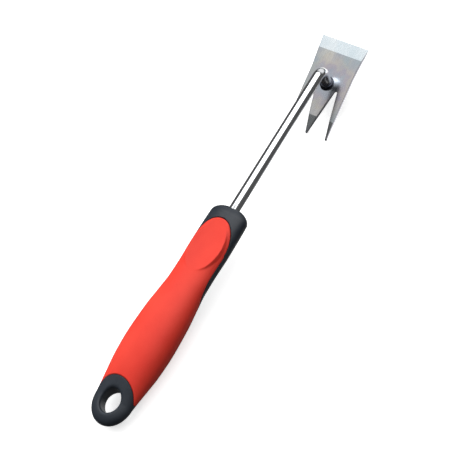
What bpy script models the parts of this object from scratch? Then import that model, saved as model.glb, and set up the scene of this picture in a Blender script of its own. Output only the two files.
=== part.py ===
# Two-in-one hand hoe: a flat hoe blade and three weeding prongs stamped from one
# steel plate, welded to the bent end of a round rod, on an overmoulded handle.
#
# The tool is modelled lying along X with the rod's axis as its centre line: the
# handle's front end is at X = 0, the head is at +X, and the thumb rest faces +Z.
# One empty then sets the finished tool down as it lies on a bench.

import math

import bmesh
import bpy
import numpy as np
from mathutils import Matrix, Vector

mm = 0.001
gap = 0.3 * mm                     # clearance between pieces that touch

# Rod
rodDiameter = 7.0 * mm
legX = 109.5 * mm                  # handle front to the middle of the bent leg
legDrop = 16.6 * mm                # rod axis to the plate's upper face
bendRadius = 6.0 * mm
tangLength = 95.0 * mm             # rod inside the handle
earLength = 9.0 * mm               # each swaged ear that keys the tang
earCentres = (66.0 * mm, 84.0 * mm)
earWiden = 1.34                    # how far an ear spreads sideways
earFlatten = 0.70                  # and how far it is squeezed in height

# Head plate, in its own plane: forward to the blade from the foot of the rod
platePitch = math.radians(18.4)
plateThickness = 2.5 * mm
plateHalfWidth = 15.4 * mm
shoulderHalfWidth = 16.3 * mm      # where the blade's grind begins
bladeHalfWidth = 17.1 * mm
flareStart = 8.0 * mm
grindLine = 21.2 * mm
cuttingEdge = 29.7 * mm
edgeDrop = 1.0 * mm                # cutting edge below the upper face
edgeLand = 0.35 * mm               # blunt land left on the cutting edge
underGrind = 24.5 * mm             # where the grind underneath begins
prongLength = 35.0 * mm
slotRoot = 2.8 * mm                # from the foot back to the root of each slot
slotRootRadius = 1.25 * mm
slotRootOffset = 8.15 * mm
middleTipHalfWidth = 0.55 * mm
outerTipWidth = 0.9 * mm
tipGrindLength = 12.5 * mm
tipGrindDrop = 1.1 * mm

# Cutters reach this far past the material
cutPast = 6.0 * mm
cutOver = 4.0 * mm
cutHalfWidth = 24.0 * mm
spaceReach = 30.0 * mm             # of the block that trims the rod and bead at the plate
planWide = 22.0 * mm

# Weld
beadRadius = 4.7 * mm
beadHeight = 2.0 * mm
beadRoot = 3.0 * mm                # drawn on below the plate's face before the cut
beadSteps = 6                      # facets up its swollen side
beadSides = 24

# Handle: distance back from the front end, half width, crown height, keel depth
handleStations = (
    (7.5, 13.0, 6.7, 7.4),
    (14.0, 13.15, 7.1, 7.9),
    (30.0, 13.25, 7.4, 8.4),
    (46.0, 12.85, 7.5, 8.6),
    (55.0, 12.85, 8.3, 9.1),
    (66.0, 13.8, 9.7, 10.2),
    (80.0, 15.2, 11.2, 11.4),
    (99.0, 15.9, 11.9, 12.1),
    (112.0, 15.45, 11.0, 11.4),
    (123.0, 14.4, 9.0, 9.3),
    (131.0, 13.55, 7.0, 7.2),
    (137.0, 12.95, 5.9, 6.0),
)
domeLength = 7.5 * mm              # rounded front end
eyeEndLength = 15.8 * mm           # rounded end beyond the last station
sectionPower = 2.3                 # superellipse: a little squarer than an ellipse
sectionSegments = 32
middleRings = 24                   # rings between the front and the eye end
landRings = 27                     # rings of the form under the cover
coverThickness = 2.0 * mm

# Thumb rest, raised on the cover
padCentre = 30.5 * mm
padHalfLength = 17.9 * mm
padHalfWidth = 10.5 * mm
padHeight = 6.9 * mm               # rim above the rod's axis
padFoot = 1.0 * mm
padFlare = 2.2 * mm                # how far the rim's wall spreads down to its foot
padTilt = 0.035                    # radians, rear end up
dishDepth = 0.7 * mm
dishHalfHeight = 5.0 * mm          # of the ellipsoid that cuts the dish
dishShare = 0.95                   # dish size against the rim
flankLength = 9.0 * mm             # the cover widens past the handle over this length

# Line along each side where the red cover ends: distance back, height
coverLine = (
    (0.0, 5.9), (12.0, 5.5), (21.0, 3.7), (30.0, 2.5), (48.0, 2.4),
    (58.0, 0.4), (67.0, -4.0), (77.0, -10.0), (86.0, -17.0),
)
archCentre = 136.7 * mm            # the black end shows inside this circle
archRadius = 13.5 * mm

# Hanging eye
eyeCentre = 138.2 * mm
eyeHalfLength = 7.4 * mm
eyeHalfWidth = 6.1 * mm
eyeLip = 2.2 * mm                  # radius that rounds each rim of the eye


def clearScene():
    for thing in list(bpy.data.objects):
        bpy.data.objects.remove(thing, do_unlink=True)


def makeCollection(name):
    collection = bpy.data.collections.new(name)
    bpy.context.scene.collection.children.link(collection)
    return collection


def makeMaterial(name, colour, roughness, metallic):
    material = bpy.data.materials.new(name)
    material.use_nodes = True
    shader = material.node_tree.nodes["Principled BSDF"]
    shader.inputs["Base Color"].default_value = (*colour, 1.0)
    shader.inputs["Roughness"].default_value = roughness
    shader.inputs["Metallic"].default_value = metallic
    return material


def addObject(name, data, collection, parent):
    thing = bpy.data.objects.new(name, data)
    collection.objects.link(thing)
    thing.parent = parent
    return thing


def meshFromBmesh(name, shape):
    mesh = bpy.data.meshes.new(name)
    bmesh.ops.recalc_face_normals(shape, faces=shape.faces)
    shape.to_mesh(mesh)
    shape.free()
    return mesh


def shadeRound(mesh, degrees=35.0):
    mesh.shade_smooth()
    mesh.set_sharp_from_angle(angle=math.radians(degrees))


def hideCutter(cutter):
    cutter.hide_render = True
    cutter.display_type = "WIRE"


def addBoolean(thing, cutter, operation):
    step = thing.modifiers.new(f"{operation.lower()} {cutter.name}", "BOOLEAN")
    step.operation = operation
    step.solver = "EXACT"
    step.object = cutter


def smoothValue(knots, values, where):
    """Cubic Hermite curve through the knots, without overshoot."""
    knots = np.asarray(knots, dtype=float)
    values = np.asarray(values, dtype=float)
    steps = np.diff(knots)
    slopes = np.diff(values) / steps
    tangents = np.zeros(len(knots))
    tangents[0], tangents[-1] = slopes[0], slopes[-1]
    for i in range(1, len(knots) - 1):
        if slopes[i - 1] * slopes[i] > 0.0:
            tangents[i] = 2.0 * slopes[i - 1] * slopes[i] / (slopes[i - 1] + slopes[i])
    i = int(np.clip(np.searchsorted(knots, where) - 1, 0, len(steps) - 1))
    t = (where - knots[i]) / steps[i]
    return float(
        (2 * t**3 - 3 * t**2 + 1) * values[i] + (t**3 - 2 * t**2 + t) * steps[i] * tangents[i]
        + (3 * t**2 - 2 * t**3) * values[i + 1] + (t**3 - t**2) * steps[i] * tangents[i + 1])


def handleSize(back):
    """Half width, crown height and keel depth of the handle, `back` from its front."""
    table = np.array(handleStations) * mm
    knots = table[:, 0]
    inside = min(max(back, knots[0]), knots[-1])
    width, crown, keel = (smoothValue(knots, table[:, k], inside) for k in (1, 2, 3))
    if back < knots[0]:
        rise = (1.0 - (1.0 - back / domeLength) ** 2.1) ** (1.0 / 2.1)
        return width * rise, crown * rise, keel * rise
    if back > knots[-1]:
        t = min((back - knots[-1]) / eyeEndLength, 1.0)
        thin = math.sqrt(1.0 - t**4)
        return width * math.sqrt(1.0 - t**2), crown * thin, keel * thin
    return width, crown, keel


def sectionRing(back, inset):
    """One superellipse ring of the handle, drawn `inset` inside its surface."""
    width, crown, keel = (size - inset for size in handleSize(back))
    ring = []
    for k in range(sectionSegments):
        angle = 2.0 * math.pi * (k + 0.5) / sectionSegments
        side, up = math.cos(angle), math.sin(angle)
        y = width * math.copysign(abs(side) ** (2.0 / sectionPower), side)
        z = math.copysign(abs(up) ** (2.0 / sectionPower), up)
        ring.append(Vector((-back, y, z * (crown if up > 0.0 else keel))))
    return ring


def loftMesh(name, rings):
    """Closed skin through rings of equal count, with a flat face on each end."""
    shape = bmesh.new()
    loops = [[shape.verts.new(point) for point in ring] for ring in rings]
    count = len(loops[0])
    for near, far in zip(loops, loops[1:]):
        for k in range(count):
            n = (k + 1) % count
            shape.faces.new((near[k], near[n], far[n], far[k]))
    shape.faces.new(loops[0])
    shape.faces.new(loops[-1])
    mesh = meshFromBmesh(name, shape)
    shadeRound(mesh)
    return mesh


def handleMesh(name):
    front = [domeLength * (1.0 - math.cos(math.radians(a))) for a in (13, 30, 48, 68)]
    last = handleStations[-1][0] * mm
    middle = list(np.linspace(domeLength, last, middleRings))
    rear = [last + eyeEndLength * math.sin(math.radians(a)) for a in (16, 32, 47, 60, 71, 80, 86)]
    return loftMesh(name, [sectionRing(back, 0.0) for back in front + middle + rear])


def landMesh(name, inset):
    """The handle's form under the cover."""
    first, last = 4.0 * mm, 146.0 * mm
    return loftMesh(name, [sectionRing(back, inset) for back in np.linspace(first, last, landRings)])


def flatMesh(name, outline, thickness):
    """Flat outline in XY made solid: a filled 2D curve, extruded both ways from Z = 0."""
    curve = bpy.data.curves.new(name, "CURVE")
    curve.dimensions = "2D"
    curve.fill_mode = "BOTH"
    curve.extrude = thickness / 2.0
    spline = curve.splines.new("POLY")
    spline.points.add(len(outline) - 1)
    for point, (x, y) in zip(spline.points, outline):
        point.co = (x, y, 0.0, 1.0)
    spline.use_cyclic_u = True
    return curveToMesh(name, curve)


def curveToMesh(name, curve):
    """A plain welded mesh from a curve."""
    holder = bpy.data.objects.new(name + " curve", curve)
    bpy.context.scene.collection.objects.link(holder)
    graph = bpy.context.evaluated_depsgraph_get()
    mesh = bpy.data.meshes.new_from_object(holder.evaluated_get(graph))
    mesh.name = name
    bpy.data.objects.remove(holder, do_unlink=True)
    shape = bmesh.new()
    shape.from_mesh(mesh)
    bmesh.ops.remove_doubles(shape, verts=shape.verts, dist=0.001 * mm)
    bmesh.ops.recalc_face_normals(shape, faces=shape.faces)
    shape.to_mesh(mesh)
    shape.free()
    return mesh


def boxMesh(name, low, high):
    shape = bmesh.new()
    middle = [(a + b) / 2.0 for a, b in zip(low, high)]
    size = [b - a for a, b in zip(low, high)]
    bmesh.ops.create_cube(shape, size=1.0,
                          matrix=Matrix.Translation(middle) @ Matrix.Diagonal((*size, 1.0)))
    return meshFromBmesh(name, shape)


def tubeMesh(name, path, radius):
    curve = bpy.data.curves.new(name, "CURVE")
    curve.dimensions = "3D"
    curve.bevel_depth = radius
    curve.bevel_resolution = 6
    curve.use_fill_caps = True
    spline = curve.splines.new("POLY")
    spline.points.add(len(path) - 1)
    for point, place in zip(spline.points, path):
        point.co = (*place, 1.0)
    return curveToMesh(name, curve)


def earAmount(back):
    """0 on the plain rod, 1 at the middle of a swaged ear."""
    nearest = min(abs(back - centre) for centre in earCentres)
    t = min(nearest / (earLength / 2.0), 1.0)
    return 0.5 + 0.5 * math.cos(math.pi * t)


def swageEars(mesh, extra):
    """Spread the tang sideways and squeeze its height at each ear."""
    for vertex in mesh.vertices:
        if vertex.co.x < 0.0:
            amount = earAmount(-vertex.co.x)
            vertex.co.y *= 1.0 + (earWiden - 1.0) * amount
            vertex.co.z *= 1.0 - (1.0 - earFlatten) * amount * (1.0 - extra / (rodDiameter / 2.0))


def rodPath(tangEnd, lead):
    """Centre line from the tang's end to the bottom of the leg, `lead` below the plate's face."""
    path = [Vector((-tangEnd, 0.0, 0.0))]
    for centre in sorted(earCentres, reverse=True):
        for step in np.linspace(-0.5, 0.5, 7):
            path.append(Vector((-centre + step * earLength, 0.0, 0.0)))
    path.append(Vector((legX - bendRadius, 0.0, 0.0)))
    turns = 9
    for k in range(1, turns + 1):
        angle = math.pi / 2.0 * k / turns
        path.append(Vector((legX - bendRadius + bendRadius * math.sin(angle), 0.0,
                            bendRadius * (math.cos(angle) - 1.0))))
    path.append(Vector((legX, 0.0, -legDrop - lead)))
    return path


def plateFrame():
    """Placement of the head plate: origin under the leg, Z square to the upper face."""
    return Matrix.Translation((legX, 0.0, -legDrop)) @ Matrix.Rotation(-platePitch, 4, "Y")


def makeShaft(parts, cutters, tool):
    mesh = tubeMesh("shaft", rodPath(tangLength, 6.0 * mm), rodDiameter / 2.0)
    swageEars(mesh, 0.0)
    shadeRound(mesh)
    shaft = addObject("shaft", mesh, parts, tool)
    shaft.data.materials.append(makeMaterial("bright_rod", (0.72, 0.73, 0.75), 0.14, 1.0))
    low, high = (-spaceReach, -spaceReach, -spaceReach), (spaceReach, spaceReach, gap)
    below = addObject("plate space", boxMesh("plate space", low, high), cutters, tool)
    below.matrix_local = plateFrame()
    hideCutter(below)
    addBoolean(shaft, below, "DIFFERENCE")
    return below


def makeWeldBead(parts, tool, plateSpace):
    inner = rodDiameter / 2.0 + gap
    profile = [(inner, beadHeight)]
    for k in range(beadSteps + 1):             # swollen outer side, top to bottom
        angle = math.radians(80.0 - 80.0 * k / beadSteps)
        profile.append((inner + (beadRadius - inner) * math.cos(angle) ** 0.8,
                        beadHeight * math.sin(angle) ** 0.8))
    profile += [(beadRadius, -beadRoot), (inner, -beadRoot)]
    mesh = bpy.data.meshes.new("weld_bead")
    count = len(profile)
    mesh.from_pydata([(r, 0.0, z) for r, z in profile],
                     [(k, (k + 1) % count) for k in range(count)], [])
    bead = addObject("weld_bead", mesh, parts, tool)
    bead.location = (legX, 0.0, -legDrop)
    turn = bead.modifiers.new("turn", "SCREW")
    turn.axis = "Z"
    turn.steps = turn.render_steps = beadSides
    turn.use_merge_vertices = True
    turn.merge_threshold = 0.001 * mm
    turn.use_smooth_shade = True
    addBoolean(bead, plateSpace, "DIFFERENCE")
    bead.data.materials.append(makeMaterial("weld_metal", (0.10, 0.11, 0.13), 0.42, 0.9))


def plateOutline():
    """Half of the plate's edge from the cutting edge to the middle tip, then its mirror."""
    side = [(cuttingEdge, bladeHalfWidth), (grindLine, shoulderHalfWidth),
            (flareStart, plateHalfWidth), (-prongLength + 2.5 * mm, plateHalfWidth),
            (-prongLength, plateHalfWidth - 0.25 * mm),
            (-prongLength, plateHalfWidth - outerTipWidth)]
    for k in range(9):                         # round root of the slot
        angle = math.pi / 2.0 - math.pi * k / 8.0
        side.append((-slotRoot - slotRootRadius + slotRootRadius * math.cos(angle),
                     slotRootOffset + slotRootRadius * math.sin(angle)))
    side.append((-prongLength + 0.4 * mm, middleTipHalfWidth))
    side.append((-prongLength, 0.25 * mm))
    return side + [(x, -y) for x, y in reversed(side)]


def wedgeMesh(name, corners, halfWidth):
    """Wedge with the given XZ corners, as wide as the plate."""
    mesh = flatMesh(name, corners, 2.0 * halfWidth)
    mesh.transform(Matrix.Rotation(math.pi / 2.0, 4, "X"))
    return mesh


def makeHeadPlate(parts, cutters, tool):
    mesh = flatMesh("head_plate", plateOutline(), plateThickness)
    mesh.transform(Matrix.Translation((0.0, 0.0, -plateThickness / 2.0)))
    plate = addObject("head_plate", mesh, parts, tool)
    plate.matrix_local = plateFrame()
    plate.data.materials.append(makeMaterial("plate_steel", (0.60, 0.61, 0.62), 0.30, 1.0))

    topSlope = edgeDrop / (cuttingEdge - grindLine)
    lowSlope = (plateThickness - edgeDrop - edgeLand) / (cuttingEdge - underGrind)
    tipSlope = tipGrindDrop / tipGrindLength
    tipStart = -prongLength + tipGrindLength
    front, back = cuttingEdge + cutPast, -prongLength - cutPast
    bottom = -plateThickness
    wedges = {
        "upper grind": [(grindLine, 0.0), (front, -topSlope * (front - grindLine)),
                        (front, cutOver), (grindLine, cutOver)],
        "lower grind": [(underGrind, bottom), (underGrind, bottom - cutOver),
                        (front, bottom - cutOver), (front, bottom + lowSlope * (front - underGrind))],
        "tip grind": [(tipStart, 0.0), (tipStart, cutOver), (back, cutOver),
                      (back, -tipSlope * (tipStart - back))],
    }
    for name, corners in wedges.items():
        cutter = addObject(name, wedgeMesh(name, corners, cutHalfWidth), cutters, tool)
        cutter.matrix_local = plateFrame()
        hideCutter(cutter)
        addBoolean(plate, cutter, "DIFFERENCE")


def sideRegion(name, cutters, tool, spread):
    """Everything above the cover's side line, as a block across the handle."""
    table = np.array(coverLine) * mm
    line = []
    for back in np.linspace(table[0, 0], table[-1, 0], 30):
        height = smoothValue(table[:, 0], table[:, 1], back)
        line.append((back, height))
    outline = []
    for k, (back, height) in enumerate(line):
        a, b = line[max(k - 1, 0)], line[min(k + 1, len(line) - 1)]
        along = Vector((b[0] - a[0], b[1] - a[1])).normalized()
        outline.append((-(back + along.y * spread), height - along.x * spread))
    top, rear, low = 20.0 * mm, 165.0 * mm, -22.0 * mm
    outline += [(outline[-1][0], low), (-rear, low), (-rear, top), (outline[0][0], top)]
    mesh = wedgeMesh(name, outline, cutHalfWidth)
    region = addObject(name, mesh, cutters, tool)
    hideCutter(region)
    return region


def planRegion(name, cutters, tool, spread):
    """The cover's outline from above: round the thumb rest in front, an arch behind."""
    length = padHalfLength + padFlare + spread
    width = padHalfWidth + padFlare + spread
    opened = -padCentre - flankLength          # where the outline has left the handle
    outline = []
    for k in range(25):
        angle = math.pi / 2.0 - math.pi * k / 24.0
        outline.append((-padCentre + length * math.cos(angle), width * math.sin(angle)))
    outline += [(opened, -planWide), (-archCentre, -planWide)]
    radius = archRadius - spread
    for k in range(25):
        angle = -math.pi / 2.0 + math.pi * k / 24.0
        outline.append((-archCentre + radius * math.cos(angle), radius * math.sin(angle)))
    outline += [(-archCentre, planWide), (opened, planWide)]
    region = addObject(name, flatMesh(name, outline, 60.0 * mm), cutters, tool)
    hideCutter(region)
    return region


def ellipseFrustum(name, topRadii, bottomRadii, height):
    """Upright frustum with oval ends."""
    shape = bmesh.new()
    bmesh.ops.create_cone(shape, cap_ends=True, segments=48, radius1=1.0, radius2=1.0, depth=1.0)
    for vertex in shape.verts:
        radii = topRadii if vertex.co.z > 0.0 else bottomRadii
        vertex.co.x *= radii[0]
        vertex.co.y *= radii[1]
        vertex.co.z *= height
    return meshFromBmesh(name, shape)


def makeGripCover(parts, cutters, tool):
    cover = addObject("grip_cover", handleMesh("grip_cover"), parts, tool)
    cover.data.materials.append(makeMaterial("soft_red", (0.80, 0.075, 0.045), 0.62, 0.0))

    tall = padHeight - padFoot
    block = addObject("thumb rest block", ellipseFrustum(
        "thumb rest block", (padHalfLength, padHalfWidth),
        (padHalfLength + padFlare, padHalfWidth + padFlare), tall), cutters, tool)
    block.location = (-padCentre, 0.0, padFoot + tall / 2.0)
    block.rotation_euler.y = padTilt

    share = dishShare / math.sqrt(1.0 - (1.0 - dishDepth / dishHalfHeight) ** 2)
    shape = bmesh.new()
    bmesh.ops.create_uvsphere(shape, u_segments=40, v_segments=24, radius=1.0)
    bmesh.ops.scale(shape, verts=shape.verts,
                    vec=(share * padHalfLength, share * padHalfWidth, dishHalfHeight))
    dish = addObject("thumb rest dish", meshFromBmesh("thumb rest dish", shape), cutters, tool)
    dish.location = (-padCentre, 0.0, padHeight - dishDepth + dishHalfHeight)
    dish.rotation_euler.y = padTilt

    land = addObject("cover land", landMesh("cover land", coverThickness), cutters, tool)
    above = sideRegion("cover side", cutters, tool, 0.0)
    around = planRegion("cover plan", cutters, tool, 0.0)
    for cutter in (block, dish, land):
        hideCutter(cutter)
    addBoolean(cover, block, "UNION")
    addBoolean(cover, dish, "DIFFERENCE")
    addBoolean(cover, above, "INTERSECT")
    addBoolean(cover, around, "INTERSECT")
    addBoolean(cover, land, "DIFFERENCE")


def makeHandleCore(parts, cutters, tool):
    core = addObject("handle_core", handleMesh("handle_core"), parts, tool)
    core.data.materials.append(makeMaterial("core_black", (0.020, 0.022, 0.027), 0.38, 0.0))

    # The cover's seat: its region, less the form of the land underneath it.
    pocket = sideRegion("cover seat", cutters, tool, gap)
    around = planRegion("seat plan", cutters, tool, gap)
    land = addObject("seat land", landMesh("seat land", coverThickness + gap), cutters, tool)
    addBoolean(pocket, around, "INTERSECT")
    addBoolean(pocket, land, "DIFFERENCE")

    # Bore for the tang, open at the front end.
    path = [Vector((10.0 * mm, 0.0, 0.0))] + list(reversed(
        [point for point in rodPath(tangLength + gap, 0.0) if point.x < 0.0]))
    mesh = tubeMesh("tang bore", path, rodDiameter / 2.0 + gap)
    swageEars(mesh, gap)
    bore = addObject("tang bore", mesh, cutters, tool)

    eye = addObject("hanging eye", eyeMesh("hanging eye"), cutters, tool)
    eye.location = (-eyeCentre, 0.0, 0.0)
    for cutter in (land, bore, eye):
        hideCutter(cutter)
    for cutter in (pocket, bore, eye):
        addBoolean(core, cutter, "DIFFERENCE")


def eyeMesh(name):
    """Spool that cuts the oval eye and rounds both of its rims."""
    crown = handleSize(eyeCentre)[1]
    straight = crown - eyeLip + 0.3 * mm
    past = 3.0 * mm
    profile = [(eyeLip, straight + eyeLip + past)]
    for k in range(6):
        angle = math.pi / 2.0 * k / 5.0
        profile.append((eyeLip * (1.0 - math.sin(angle)), straight + eyeLip * math.cos(angle)))
    profile += [(r, -z) for r, z in reversed(profile)]
    rings = []
    segments = 36
    for out, z in profile:
        rings.append([Vector(((eyeHalfLength + out) * math.cos(2.0 * math.pi * k / segments),
                              (eyeHalfWidth + out) * math.sin(2.0 * math.pi * k / segments), z))
                      for k in range(segments)])
    return loftMesh(name, rings)


def restAngle():
    """Pitch of the tool on a bench, where the prong tips and the handle's keel touch it."""
    tip = plateFrame() @ Vector((-prongLength, 0.0, -plateThickness))
    angles = []
    for back in np.linspace(domeLength, 150.0 * mm, 200):
        keel = handleSize(back)[2]
        angles.append(math.atan2(-keel - tip.z, tip.x + back))
    return min(angles)


def setDown(tool, parts):
    """Lowest point on Z = 0, and the box centred on the origin."""
    bpy.context.view_layer.update()
    graph = bpy.context.evaluated_depsgraph_get()
    points = []
    for part in parts.objects:
        solid = part.evaluated_get(graph)
        points += [part.matrix_world @ vertex.co for vertex in solid.data.vertices]
    points = np.array(points)
    low, high = points.min(axis=0), points.max(axis=0)
    tool.location = (-(low[0] + high[0]) / 2.0, -(low[1] + high[1]) / 2.0, -low[2])
    bpy.context.view_layer.update()


def main():
    clearScene()
    parts = makeCollection("hand_hoe")
    cutters = makeCollection("cutters")
    tool = bpy.data.objects.new("tool", None)
    bpy.context.scene.collection.objects.link(tool)
    tool.rotation_euler = (0.0, -restAngle(), 0.0)

    plateSpace = makeShaft(parts, cutters, tool)
    makeWeldBead(parts, tool, plateSpace)
    makeHeadPlate(parts, cutters, tool)
    makeHandleCore(parts, cutters, tool)
    makeGripCover(parts, cutters, tool)
    setDown(tool, parts)


main()
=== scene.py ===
import math

import bmesh
import bpy
import numpy as np
from mathutils import Matrix, Vector
from mathutils.geometry import delaunay_2d_cdt


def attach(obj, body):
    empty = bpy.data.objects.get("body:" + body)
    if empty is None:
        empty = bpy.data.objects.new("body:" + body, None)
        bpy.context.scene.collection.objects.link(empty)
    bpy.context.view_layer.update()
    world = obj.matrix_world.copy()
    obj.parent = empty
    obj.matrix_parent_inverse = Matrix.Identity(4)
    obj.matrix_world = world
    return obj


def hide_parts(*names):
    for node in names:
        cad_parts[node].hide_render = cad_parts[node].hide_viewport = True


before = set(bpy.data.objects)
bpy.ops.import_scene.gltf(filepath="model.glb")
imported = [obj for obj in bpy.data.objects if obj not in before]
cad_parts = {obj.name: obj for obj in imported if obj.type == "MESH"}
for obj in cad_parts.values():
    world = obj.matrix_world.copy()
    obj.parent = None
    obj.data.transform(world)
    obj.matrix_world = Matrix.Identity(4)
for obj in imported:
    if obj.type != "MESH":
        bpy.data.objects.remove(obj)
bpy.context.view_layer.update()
print("frame loaded:", ", ".join(sorted(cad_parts)))

mm = 0.001

# Each piece is built lying along X in millimetres, with the rod as its centre
# line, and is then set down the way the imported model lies.
restPose = {
    "pitch": math.radians(-5.6237),
    "origin": Vector((6.903, 0.0, 22.322)),
}
toolSpace = Matrix.Translation(restPose["origin"]) @ Matrix.Rotation(restPose["pitch"], 4, "Y")


def setInputs(tree, node, values):
    for name, value in values.items():
        if isinstance(value, bpy.types.NodeSocket):
            tree.links.new(value, node.inputs[name])
        else:
            node.inputs[name].default_value = value
    return node


def addNode(tree, kind, values=None, **settings):
    node = tree.nodes.new(kind)
    for name, value in settings.items():
        setattr(node, name, value)
    return setInputs(tree, node, values or {})


def calc(tree, operation, *values):
    return addNode(tree, "ShaderNodeMath", dict(enumerate(values)), operation=operation).outputs[0]


def remap(tree, value, fromLow, fromHigh, toLow, toHigh):
    return addNode(tree, "ShaderNodeMapRange", {
        "Value": value, "From Min": fromLow, "From Max": fromHigh, "To Min": toLow, "To Max": toHigh},
        interpolation_type="SMOOTHSTEP").outputs["Result"]


def mixColours(tree, factor, low, high, blend="MIX"):
    values = {0: factor}
    for side, colour in ((6, low), (7, high)):
        values[side] = (*colour, 1.0) if isinstance(colour, tuple) else colour
    return addNode(tree, "ShaderNodeMix", values, data_type="RGBA", blend_type=blend).outputs[2]


def ramp(tree, value, stops):
    node = addNode(tree, "ShaderNodeValToRGB", {"Fac": value})
    points = node.color_ramp.elements
    while len(points) < len(stops):
        points.new(0.5)
    for point, (place, colour) in zip(points, stops):
        point.position, point.color = place, (*colour, 1.0)
    return node.outputs["Color"]


socketKinds = {int: "NodeSocketInt", float: "NodeSocketFloat", tuple: "NodeSocketVector"}


def newGroup(name, kind, subject, sizes, outputs):
    # The inputs are the subject that it works on, and then its sizes by name.
    tree = bpy.data.node_groups.new(name, kind)
    tree.interface.new_socket(subject[0], in_out="INPUT", socket_type=subject[1])
    for label, value in sizes.items():
        socket = tree.interface.new_socket(label, in_out="INPUT", socket_type=socketKinds[type(value)])
        socket.default_value = value
    for label, socketKind in outputs.items():
        tree.interface.new_socket(label, in_out="OUTPUT", socket_type=socketKind)
    return tree, tree.nodes.new("NodeGroupInput").outputs, tree.nodes.new("NodeGroupOutput").inputs


def newEffect(name, sizes, *masks, **others):
    outputs = {**others, **{mask: "NodeSocketFloat" for mask in masks}}
    return newGroup(name, "ShaderNodeTree", ("Place", "NodeSocketVector"), sizes, outputs)


def useGroup(tree, group, values):
    node = tree.nodes.new("ShaderNodeGroup")
    node.node_tree = group
    return setInputs(tree, node, values).outputs


# Shader groups shared by the materials. Place is a position in metres.

def makeClouds():
    tree, given, out = newEffect("softClouds", {"Size mm": 20.0, "Contrast": 0.25}, "Mask")
    scale = calc(tree, "DIVIDE", 1000.0, given["Size mm"])
    noise = addNode(tree, "ShaderNodeTexNoise", {
        "Vector": given["Place"], "Scale": scale, "Detail": 3.0, "Roughness": 0.5})
    low = calc(tree, "SUBTRACT", 0.5, given["Contrast"])
    high = calc(tree, "ADD", 0.5, given["Contrast"])
    tree.links.new(remap(tree, noise.outputs["Fac"], low, high, 0.0, 1.0), out["Mask"])
    return tree


def makeMouldGrain():
    tree, given, out = newEffect("mouldGrain", {"Grain mm": 0.3}, "Height", "Speckle")
    scale = calc(tree, "DIVIDE", 1000.0, given["Grain mm"])
    fine = addNode(tree, "ShaderNodeTexNoise", {
        "Vector": given["Place"], "Scale": scale, "Detail": 2.0, "Roughness": 0.6})
    cells = addNode(tree, "ShaderNodeTexVoronoi", {
        "Vector": given["Place"], "Scale": calc(tree, "MULTIPLY", scale, 0.6), "Smoothness": 0.6},
        feature="SMOOTH_F1")
    both = calc(tree, "ADD", calc(tree, "MULTIPLY", fine.outputs["Fac"], 0.6),
                calc(tree, "MULTIPLY", cells.outputs["Distance"], 0.4))
    tree.links.new(both, out["Height"])
    tree.links.new(remap(tree, fine.outputs["Fac"], 0.38, 0.62, 0.0, 1.0), out["Speckle"])
    return tree


def makeDrawnLines():
    tree, given, out = newEffect("drawnLines", {"Length mm": 12.0, "Spacing mm": 0.12},
                                 "Lines", "Streaks")
    along = calc(tree, "DIVIDE", 1000.0, given["Length mm"])
    across = calc(tree, "DIVIDE", 1000.0, given["Spacing mm"])

    def stretched(ratio):
        fine = calc(tree, "MULTIPLY", across, ratio)
        size = addNode(tree, "ShaderNodeCombineXYZ", {"X": along, "Y": fine, "Z": fine}).outputs[0]
        place = addNode(tree, "ShaderNodeVectorMath", {0: given["Place"], 1: size},
                        operation="MULTIPLY").outputs[0]
        return addNode(tree, "ShaderNodeTexNoise", {
            "Vector": place, "Scale": 1.0, "Detail": 2.0, "Roughness": 0.6}).outputs["Fac"]

    tree.links.new(stretched(1.0), out["Lines"])
    tree.links.new(remap(tree, stretched(0.2), 0.35, 0.65, 0.0, 1.0), out["Streaks"])
    return tree


def makeScratches():
    tree, given, out = newEffect("fineScratches", {"Cell mm": 9.0, "Width": 0.012}, "Mask")
    scale = calc(tree, "DIVIDE", 1000.0, given["Cell mm"])
    bent = addNode(tree, "ShaderNodeTexNoise", {
        "Vector": given["Place"], "Scale": calc(tree, "MULTIPLY", scale, 0.7), "Detail": 1.0})
    pushed = addNode(tree, "ShaderNodeVectorMath", {
        0: bent.outputs["Color"], 1: (0.004, 0.004, 0.004), 2: given["Place"]},
        operation="MULTIPLY_ADD")
    cells = addNode(tree, "ShaderNodeTexVoronoi", {
        "Vector": pushed.outputs[0], "Scale": scale}, feature="DISTANCE_TO_EDGE")
    line = remap(tree, cells.outputs["Distance"], 0.0, given["Width"], 1.0, 0.0)
    gate = addNode(tree, "ShaderNodeTexNoise", {
        "Vector": given["Place"], "Scale": calc(tree, "MULTIPLY", scale, 1.7), "Detail": 1.0})
    shown = remap(tree, gate.outputs["Fac"], 0.5, 0.62, 0.0, 1.0)
    tree.links.new(calc(tree, "MULTIPLY", line, shown), out["Mask"])
    return tree


heatStops = [
    (0.30, (0.40, 0.46, 0.56)), (0.50, (0.50, 0.44, 0.52)),
    (0.70, (0.70, 0.62, 0.48)), (1.0, (0.68, 0.69, 0.70))]


def makeHeatTint():
    tree, given, out = newEffect("heatTint", {"Centre": (0.0, 0.0, 0.0), "Reach mm": 14.0},
                                 "Mask", Colour="NodeSocketColor")
    away = addNode(tree, "ShaderNodeVectorMath", {0: given["Place"], 1: given["Centre"]},
                   operation="DISTANCE").outputs["Value"]
    drift = addNode(tree, "ShaderNodeTexNoise", {
        "Vector": given["Place"], "Scale": 180.0, "Detail": 2.0}).outputs["Fac"]
    share = calc(tree, "DIVIDE", calc(tree, "MULTIPLY", away, 1000.0), given["Reach mm"])
    sway = calc(tree, "MULTIPLY", calc(tree, "SUBTRACT", drift, 0.5), 0.7)
    share = calc(tree, "ADD", share, sway)
    tree.links.new(ramp(tree, share, heatStops), out["Colour"])
    tree.links.new(remap(tree, share, 0.35, 1.0, 1.0, 0.0), out["Mask"])
    return tree


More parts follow.
